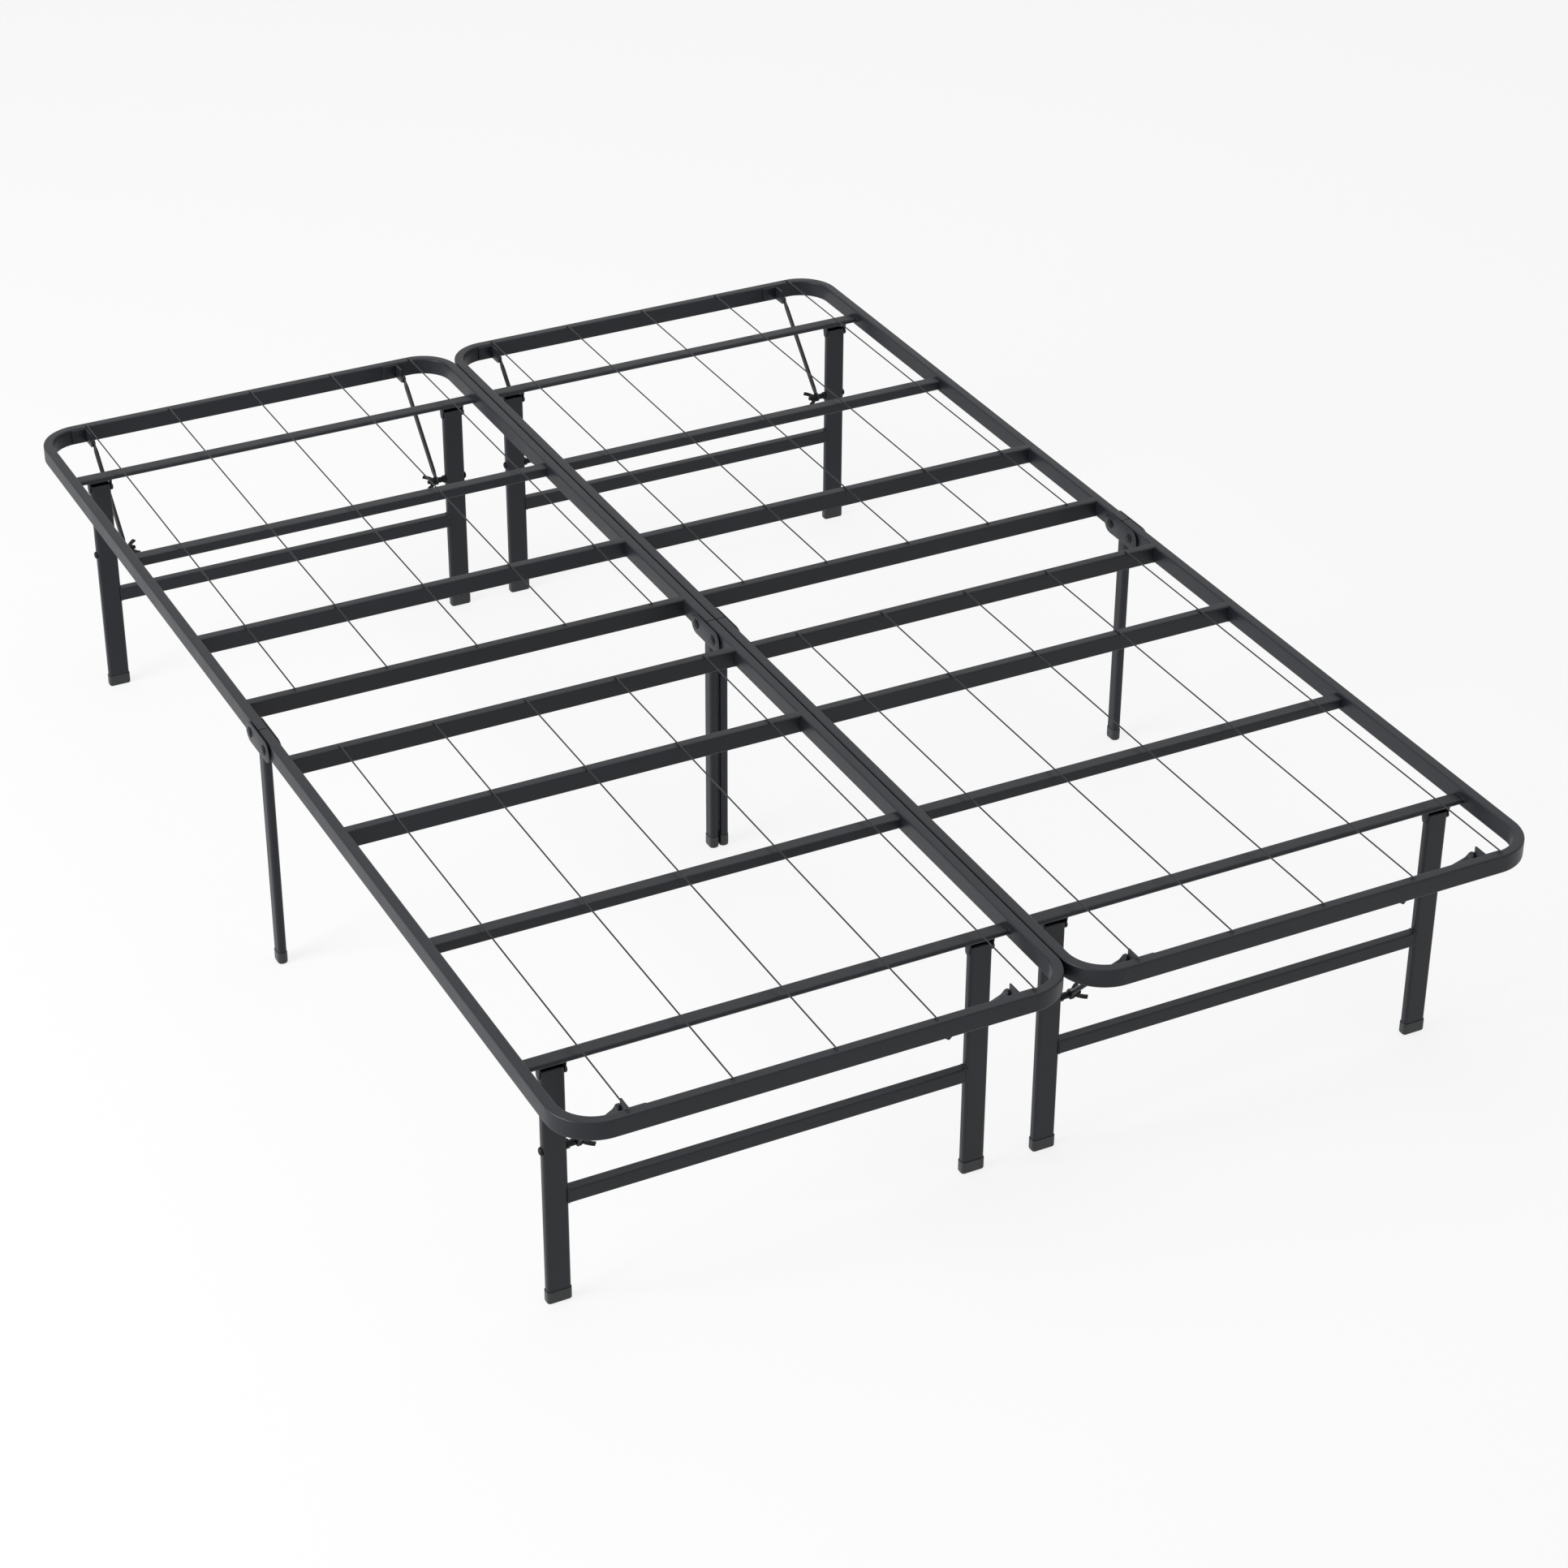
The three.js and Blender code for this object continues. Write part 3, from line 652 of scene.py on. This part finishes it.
def leg_saddle(panel, place, bar_under):
    """Inverted channel under the flat bar that holds the leg's pin. The pin ends just inside the
    -X ear and has its head on the +X side."""
    x = leg_x(panel, place)
    pivot = PIVOTS[f"left_{panel}_leg_fold"]
    y, z = pivot.y, pivot.z
    length, nose_r = 14 * MM, 4.5 * MM  # length: along Y, where the ears leave the bar
    half = LEG.x / 2 + CLEARANCE
    nose = arc((y, z - 0.5 * MM), nose_r, 200, 340, 10)
    outline = [(y - length / 2, bar_under), *nose, (y + length / 2, bar_under)]
    parts = []
    for x0 in (x - half - PLATE, x + half):
        parts.append(pressed_plate("saddle_ear", outline, x0, x0 + PLATE))
    web = block("saddle_web", (x, y, bar_under - PLATE / 2), (2 * (half + PLATE), length, PLATE))
    pick("EDGE", lambda e: abs(e.verts[0].co.y - e.verts[1].co.y) > 1 * MM
         and e.verts[0].co.z > bar_under - 0.1 * MM)
    bpy.ops.mesh.bevel(offset=1.2 * MM, segments=3, affect="EDGES")
    close_up(30)
    parts.append(web)
    near, far = (x - half - 0.9 * PLATE, y, z), (x + half + PLATE, y, z)
    parts.append(plain_pin("saddle_pin", near, far, BOLT_R))
    parts.append(domed_head("saddle_rivet", far, 1, 5 * MM, 2.6 * MM))
    return parts


def flat_bar(panel):
    """Flattened tube between the side rails, with a saddle under it at each leg."""
    node = f"left_{panel}_flat_bar"
    low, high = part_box(node)
    y = PIVOTS[f"left_{panel}_leg_fold"].y
    thick, wide = 7 * MM, 21 * MM
    under = high.z - thick
    z = under + thick / 2
    tube = straight_tube(
        node + "_finished", (low.x - SINK, y, z), (high.x + SINK, y, z), wide, thick,
        3.45 * MM, "x",
    )
    parts = [tube]
    for x in (low.x, high.x):
        parts.append(weld_bead("bar_weld", (x, y, z), wide, thick, 3.4 * MM, "x", BEAD))
    for place in SIDES:
        parts += leg_saddle(panel, place, under)
    fit_both_units(weld_together(parts, node + "_finished"), node, "black_powder_coat")


# ---- legs ---------------------------------------------------------------------------------
def leg_frame(panel):
    """Two legs and a crossbar welded into an H, with the brace bolts."""
    node = f"left_{panel}_leg_frame"
    low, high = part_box(node)
    pivot = PIVOTS[f"left_{panel}_leg_fold"]
    y, deck = pivot.y, pivot.z + PIVOT_DROP
    bar_z = deck - LEG_BAR_DROP
    bolt_z = deck - BRACE_DROP
    bar_ends = []
    parts = []
    bolts = []
    for place, side in SIDES.items():
        x = leg_x(panel, place)
        parts.append(straight_tube("leg", (x, y, low.z), (x, y, high.z), *LEG, LEG_CORNER, "z"))
        inner_face = x - side * LEG.x / 2
        outer_face = x + side * LEG.x / 2
        bar_ends.append((inner_face + side * SINK, y, bar_z))
        sleeve_end = PIVOTS[f"left_{panel}_{place}_brace_fold"].x + side * (EYE / 2 + CLEARANCE)
        parts.append(weld_bead(
            "bar_weld", (inner_face, y, bar_z), *LEG_BAR, TUBE_CORNER, "x", BEAD,
        ))
        bolts.append(domed_head("brace_bolt", (outer_face, y, bolt_z), side, 5.3 * MM, 3.4 * MM))
        bolts += lock_nut("brace_bolt_nut", (inner_face, y, bolt_z), -side, 5 * MM, NUT_R["brace"])
        bolts.append(plain_pin(
            "brace_spacer", (inner_face - side * 4 * MM, y, bolt_z), (sleeve_end, y, bolt_z),
            4.3 * MM, sides=24,
        ))
    parts.append(straight_tube("leg_crossbar", *bar_ends, *LEG_BAR, TUBE_CORNER, "x"))
    fit_both_units(weld_together(parts, node + "_finished"), node, "black_powder_coat")
    bolt_set = weld_together(bolts, node + "_bolts")
    fit_both_units(bolt_set, node, "black_zinc", ending="_bolts", stands_for_it=False)


def tube_cap(node, corner):
    """Moulded cup pushed on a tube's end: straight sides with a lip at the top, and a rounded
    sole."""
    low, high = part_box(node)
    size = high - low
    cap = block(node + "_finished", (low + high) / 2, size)
    pick("EDGE", lambda e: abs(e.verts[0].co.z - e.verts[1].co.z) > size.z / 2)
    bpy.ops.mesh.bevel(offset=corner, segments=5, affect="EDGES")
    pick("FACE", lambda f: f.normal.z < -0.9)
    bpy.ops.mesh.bevel(offset=SOLE_ROUND, segments=4, affect="EDGES")
    pick("FACE", lambda f: f.normal.z > 0.9)
    bpy.ops.mesh.bevel(offset=CAP_LIP, segments=2, affect="EDGES")
    pick("FACE", lambda f: f.normal.z > 0.9)
    bpy.ops.mesh.inset(thickness=CAP_WALL - CAP_LIP)
    draw_out(z=-(size.z - CAP_FLOOR))
    close_up()
    smooth_off(cap)
    return cap


# ---- brace --------------------------------------------------------------------------------
def brace(panel, place):
    """Round rod flattened to an eye at both ends. Its upper rivet passes through the tab and
    ends a little proud of the tab's far side."""
    node = f"left_{panel}_{place}_brace"
    d = DIRECTION[panel]
    top = PIVOTS[f"left_{panel}_{place}_brace_fold"]
    leg = PIVOTS[f"left_{panel}_leg_fold"]
    foot = Vector((top.x, leg.y, leg.z + PIVOT_DROP - BRACE_DROP))
    along = foot - top
    length = along.length
    turn = math.atan2(-along.y, along.z)  # about X, from +Z
    neck = 15 * MM  # the rod is round up to here from either eye
    clear_bench()
    bpy.ops.mesh.primitive_cylinder_add(
        vertices=16, radius=ROD_D / 2, depth=length - 2 * neck, location=(0, 0, length / 2),
    )
    rod = open_up(node + "_finished")
    for level, way in ((neck, -1), (length - neck, 1)):
        pick("FACE", lambda f: f.normal.z * way > 0.9)
        for step, wide, thin in (
            (4 * MM, 1.16, 0.82), (4.5 * MM, 1.28, 0.7), (4 * MM, 1.2, 0.82),
        ):
            draw_out(z=way * step)
            level += way * step
            bpy.ops.transform.resize(value=(thin, wide, 1), center_override=(0, 0, level))
    close_up(50)
    upper_eye, lower_eye = 5.4 * MM, 6.6 * MM
    eyes = [eye_disc((0, 0, 0), upper_eye), eye_disc((0, 0, length), lower_eye)]
    piece = weld_together([rod, *eyes], node + "_finished")
    take_up(piece)
    piece.rotation_euler = (turn, 0, 0)
    piece.location = top
    bpy.ops.object.transform_apply(location=True, rotation=True, scale=True)
    eye_face = top.x + d * EYE / 2
    tab_far = top.x - d * (EYE / 2 + CLEARANCE + TAB + 0.4 * MM)
    low_x, high_x = sorted((tab_far, eye_face))
    pin = plain_pin("brace_pin", (low_x, top.y, top.z), (high_x, top.y, top.z), BOLT_R)
    head = domed_head("rivet_head", (eye_face, top.y, top.z), d, 4.4 * MM, 0.9 * MM)
    fit_both_units(weld_together([piece, pin, head], node + "_finished"), node,
                   "black_powder_coat")


def eye_disc(at, radius):
    """The flattened end of the rod round the rivet or bolt."""
    disc = turned_bar("brace_eye", at, radius, EYE, 32)
    pick("FACE", lambda f: abs(f.normal.x) > 0.9)
    bpy.ops.mesh.bevel(offset=0.8 * MM, segments=3, affect="EDGES")
    close_up(40)
    return disc


def wing_nut(panel, place):
    """Wing nut on the brace's lower eye, with its washer and the end of the bolt. The wings are
    thick pressed bars with square ends that flare away from the hub."""
    node = f"left_{panel}_{place}_wing_nut"
    top = PIVOTS[f"left_{panel}_{place}_brace_fold"]
    leg = PIVOTS[f"left_{panel}_leg_fold"]
    y, z = leg.y, leg.z + PIVOT_DROP - BRACE_DROP
    inward = -SIDES[place]
    start = top.x + inward * (EYE / 2 + CLEARANCE)

    def out(distance):
        return start + inward * distance * MM

    washer = plain_pin("washer", (start, y, z), (out(1.6), y, z), 6.5 * MM, 28)
    clear_bench()
    bpy.ops.mesh.primitive_cone_add(
        vertices=24, radius1=5.8 * MM, radius2=4.4 * MM, depth=7.4 * MM,
        rotation=(0, inward * QUARTER, 0), location=(out(5.3), y, z),
    )
    hub = open_up("hub")
    pick("FACE", lambda f: abs(f.normal.x) > 0.9)
    bpy.ops.mesh.bevel(offset=0.7 * MM, segments=3, affect="EDGES")
    close_up(40)
    parts = [washer, hub, bolt_thread("thread", (out(8), y, z), inward, 4 * MM)]
    for way in (-1, 1):
        root = (out(4.8), y + way * 3.2 * MM, z)
        wing = block("wing", root, (6.6 * MM, 2 * MM, 3.5 * MM))
        pick("FACE", lambda f: f.normal.y * way > 0.9)
        centre = Vector((out(4.8), y + way * 4.2 * MM, z))
        for x, along_y, wide, lean in (
            (2.4, 3.0, 0.88, 14), (3.8, 3.2, 0.9, 20), (4.4, 2.6, 0.92, 12),
        ):
            move = Vector((inward * x, way * along_y, 0)) * MM
            draw_out(*move)
            centre += move
            bpy.ops.transform.resize(value=(wide, 1, 1), center_override=centre)
            bpy.ops.transform.rotate(value=math.radians(lean) * inward * way, orient_axis="Z",
                                     center_override=centre)
        bpy.ops.mesh.select_all(action="SELECT")
        close_up()
        machine(wing, "BEVEL", width=0.6 * MM, segments=3, limit_method="ANGLE")
        smooth_off(wing, 40)
        parts.append(wing)
    nut = weld_together(parts, node + "_finished")
    take_up(nut)
    bpy.context.scene.cursor.location = (0, y, z)
    bpy.ops.object.origin_set(type="ORIGIN_CURSOR")
    nut.rotation_euler = (math.radians(NUT_TURN[panel]), 0, 0)
    bpy.ops.object.transform_apply(location=True, rotation=True, scale=True)
    bpy.context.scene.cursor.location = (0, 0, 0)
    fit_both_units(nut, node, "black_zinc")


def bolt_thread(name, at, way, length):
    """The bolt's end: rolled thread with a chamfered point."""
    pitch, root, crest = 0.8 * MM, 2.6, 3.0  # root and crest: radii in mm
    piece = turned_bar(name, at, root * MM, 0.2 * MM, 20)
    pick("FACE", lambda f: f.normal.x * way > 0.9)
    for _ in range(int(length / pitch)):
        for share in (crest / root, root / crest):
            draw_out(x=way * pitch / 2)
            bpy.ops.transform.resize(value=(1, share, share), center_override=at)
    draw_out(x=way * 0.5 * MM)
    bpy.ops.transform.resize(value=(1, 0.75, 0.75), center_override=at)
    close_up(30)
    return piece


# ---- middle hinge -------------------------------------------------------------------------
def lock_nut(name, at, way, reach, radius):
    """A thin hexagon nut on the end of a bolt, which stands a little proud of it. The radius is
    the one over its corners."""
    proud = 0.4 * MM  # how far the bolt's end stands out of the nut
    middle = Vector(at) + Vector((way * (reach / 2 - proud / 2), 0, 0))
    nut = turned_bar(name, middle, radius, reach - proud, 6)
    pick("FACE", lambda f: f.normal.x * way > 0.9)
    bpy.ops.mesh.bevel(offset=0.7 * MM, segments=2, affect="EDGES")
    pick("FACE", lambda f: f.normal.x * way > 0.99)
    bpy.ops.mesh.inset(thickness=1.1 * MM)
    draw_out(x=-way * 0.4 * MM)
    close_up(20)
    x = at[0]
    end = plain_pin("bolt_end", (x, *at[1:]), (x + way * reach, *at[1:]), BOLT_R, 20)
    return [nut, end]


def middle_hinge(unit, place):
    """Long plates with round ends beside the rails, joined to a web over the middle leg, and the
    bolts the rails turn on. Washers hold the plates off the rails, a thick one on the -X side and
    a thin one on the +X side. Between the two units there is no room for a plate or a nut."""
    node = f"{unit}_{place}_hinge"
    low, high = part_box(node)
    leg_low, leg_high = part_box(f"{unit}_{place}_middle_leg")
    x = (leg_low.x + leg_high.x) / 2
    foot_bolt = PIVOTS[f"{unit}_outer_hinge_fold"]
    head_bolt = PIVOTS[f"{unit}_head_fold"]
    inner = {-1: RAIL.x / 2 + 2 * MM, 1: RAIL.x / 2 + 0.2 * MM}
    face = {way: reach + PLATE for way, reach in inner.items()}
    z, end = head_bolt.z, 14.7 * MM  # end: radius of the plates' round ends
    outline = arc((high.y - end, z), end, 90, -90, 14) + arc((low.y + end, z), end, 270, 90, 14)
    ways = [way for way, reach in ((-1, x - low.x), (1, high.x - x)) if reach > face[way]]
    parts = []
    for way in ways:
        ends = sorted((x + way * inner[way], x + way * face[way]))
        parts.append(pressed_plate("hinge_plate", outline, *ends, edge=0.4 * MM))
    web_ends = [x + way * (face[way] - 0.3 * MM) for way in ways]
    web_low = min(x - RAIL.x / 2, *web_ends)
    web_high = max(x + RAIL.x / 2, *web_ends)
    web_at = ((web_low + web_high) / 2, 0, leg_high.z + 1.3 * MM)
    web = block("hinge_web", web_at, (web_high - web_low, 18 * MM, 2 * MM))
    bpy.ops.mesh.select_all(action="SELECT")
    bpy.ops.mesh.bevel(offset=0.4 * MM, segments=2, affect="EDGES")
    close_up()
    parts.append(web)
    parts.append(weld_bead(
        "leg_weld", (x, 0, leg_high.z), leg_high.x - leg_low.x, leg_high.y - leg_low.y,
        MIDDLE_CORNER, "z", BEAD,
    ))
    plates = weld_together(parts, node + "_finished")
    bolts = []
    for bolt in (foot_bolt, head_bolt):
        span = [x - RAIL.x / 2, x + RAIL.x / 2, *(x + way * face[way] for way in ways)]
        ends = [(at, bolt.y, bolt.z) for at in (min(span), max(span))]
        bolts.append(plain_pin("hinge_bolt", *ends, 4 * MM))
        for way in ways:
            span = sorted(x + way * (at + 0.1 * MM) for at in (RAIL.x / 2, inner[way]))
            ends = [(at, bolt.y, bolt.z) for at in span]
            bolts.append(plain_pin("spacing_washer", *ends, 7.5 * MM, 24))
            reach = (x - low.x if way < 0 else high.x - x) - face[way]
            nut_at = (x + way * face[way], bolt.y, bolt.z)
            bolts += lock_nut("hinge_nut", nut_at, way, reach, NUT_R["hinge"])
    bolt_set = weld_together(bolts, f"{unit}_{place}_hinge_bolts")
    fit(plates, node, "black_powder_coat")
    fit(bolt_set, node, "black_zinc", stands_for_it=False)


def middle_leg(place):
    node = f"left_{place}_middle_leg"
    low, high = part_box(node)
    x = (low.x + high.x) / 2
    leg = straight_tube(
        node + "_finished", (x, 0, low.z), (x, 0, high.z), high.x - low.x, high.y - low.y,
        MIDDLE_CORNER, "z",
    )
    fit_both_units(leg, node, "black_powder_coat")


# ---- the bed ------------------------------------------------------------------------------
for panel in DIRECTION:
    panel_rail(panel)
    for bar in ("slat_a", "slat_b"):
        node = f"left_{panel}_{bar}"
        fit_both_units(weld_together(slat(node), node + "_finished"), node, "black_powder_coat")
    wired_slat(panel)
    flat_bar(panel)
    leg_frame(panel)
    for place in SIDES:
        brace(panel, place)
        wing_nut(panel, place)
        node = f"left_{panel}_{place}_foot_cap"
        fit_both_units(tube_cap(node, CAP_CORNER["foot"]), node, "foot_plastic")

for place in SIDES:
    for unit in ("left", "right"):
        middle_hinge(unit, place)
    middle_leg(place)
    node = f"left_{place}_middle_leg_cap"
    fit_both_units(tube_cap(node, CAP_CORNER["middle"]), node, "foot_plastic")


# ---- studio -------------------------------------------------------------------------------
def seen_share(tree, share=None):
    """1 for rays that come from the camera, off a mirror or through glass, 0 for scattered
    light; share scales it."""
    rays = add_node(tree, "ShaderNodeLightPath")
    mirror_or_glass = add_node(tree, "ShaderNodeMath", {
        0: rays.outputs["Is Glossy Ray"], 1: rays.outputs["Is Transmission Ray"],
    }, operation="ADD", use_clamp=True)
    seen = add_node(tree, "ShaderNodeMath", {
        0: rays.outputs["Is Camera Ray"], 1: mirror_or_glass.outputs[0],
    }, operation="ADD", use_clamp=True)
    if share is None:
        return seen.outputs[0]
    scaled = add_node(tree, "ShaderNodeMath", {0: seen.outputs[0], 1: share}, operation="MULTIPLY")
    return scaled.outputs[0]


def mix_shaders(tree, factor, first, second, ending):
    mix = add_node(tree, "ShaderNodeMixShader", {
        0: factor, 1: first.outputs[0], 2: second.outputs[0],
    })
    add_node(tree, ending, {"Surface": mix.outputs[0]})


def studio():
    """A pale floor in a white room, a large soft light on the bed's left and a weaker one over
    it."""
    scene = bpy.context.scene
    scene.view_settings.view_transform = "Standard"
    scene.world = bpy.data.worlds.new("studio")
    tree = empty_tree(scene.world)
    fill = add_node(tree, "ShaderNodeBackground", {"Color": (1, 1, 1, 1), "Strength": 0.45})
    white = add_node(tree, "ShaderNodeBackground", {"Color": (1, 1, 1, 1), "Strength": 1.0})
    mix_shaders(tree, seen_share(tree), fill, white, "ShaderNodeOutputWorld")

    clear_bench()
    bpy.ops.mesh.primitive_plane_add(size=80, location=(0, 0, 0))
    floor = settle("studio_floor")
    # Matt paper that is mostly lit from itself where it is seen, so that it stays near white and
    # still keeps the bed's shadow.
    paper = bpy.data.materials.new("pale_studio_paper")
    tree = empty_tree(paper)
    matt = add_node(tree, "ShaderNodeBsdfDiffuse", {"Color": linear("#f4f4f4")})
    glow = add_node(tree, "ShaderNodeEmission", {"Color": (1, 1, 1, 1), "Strength": 1.0})
    mix_shaders(tree, seen_share(tree, 0.8), matt, glow, "ShaderNodeOutputMaterial")
    floor.data.materials.append(paper)

    target = Vector((0, 0, 0.2))
    for name, at, size, power in (
        ("left_window", (-6.0, -0.5, 2.2), 3.5, 420),
        ("top_panel", (0.5, 0.5, 5.0), 4.0, 60),
    ):
        lamp = bpy.data.lights.new(name, "AREA")
        lamp.shape, lamp.size, lamp.energy = "SQUARE", size, power
        holder = bpy.data.objects.new(name, lamp)
        scene.collection.objects.link(holder)
        holder.location = at
        holder.rotation_euler = (target - Vector(at)).to_track_quat("-Z", "Y").to_euler()


def camera():
    """A long lens above the foot end and to the left, looking down over the whole base."""
    azimuth, elevation = math.radians(-26.592), math.radians(31.183)
    back = Vector((
        math.sin(azimuth) * math.cos(elevation), -math.cos(azimuth) * math.cos(elevation),
        math.sin(elevation),
    ))
    lens = bpy.data.cameras.new("camera")
    lens.sensor_width = 36
    lens.lens = 85.31
    lens.shift_x, lens.shift_y = 0.0250, -0.0171
    lens.clip_end = 100
    holder = bpy.data.objects.new("camera", lens)
    bpy.context.scene.collection.objects.link(holder)
    holder.location = (-1.9105, -3.9024, 2.7692)
    holder.rotation_mode = "QUATERNION"
    holder.rotation_quaternion = (-back).to_track_quat("-Z", "Y")
    bpy.context.scene.camera = holder


studio()
camera()
